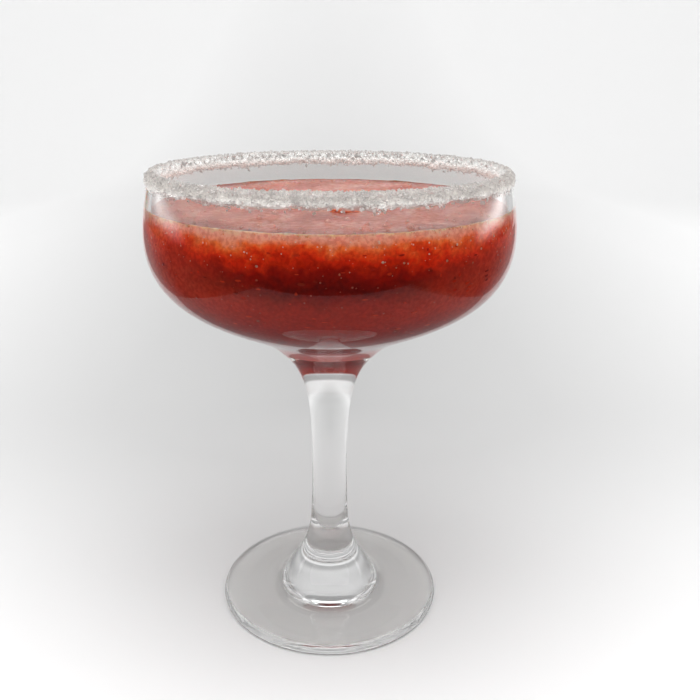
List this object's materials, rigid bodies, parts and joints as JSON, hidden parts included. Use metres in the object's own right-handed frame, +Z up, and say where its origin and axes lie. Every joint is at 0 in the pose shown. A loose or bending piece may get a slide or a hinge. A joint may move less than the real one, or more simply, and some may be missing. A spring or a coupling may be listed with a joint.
{
  "type": "frozen margarita in a coupe glass",
  "caption": "Footed coupe glass with a coarse salt rim, filled with a red frozen drink to just below the lip.",
  "frame": {"origin": "middle of the foot's underside, on the table", "axes": "+Z up along the stem to the rim, +X to the right and -Y towards the viewer of the picture"},
  "size_m": [0.0984, 0.0984, 0.1299],
  "materials": {
    "clear_glass": "polished, clear",
    "red_slush": "translucent blended fruit and ice, wet",
    "coarse_salt": "translucent whitish grains with sparkling facets"
  },
  "bodies": {
    "root": {"glass": "clear_glass", "drink": "red_slush", "salt_rim": "coarse_salt"}
  },
  "joints": []
}
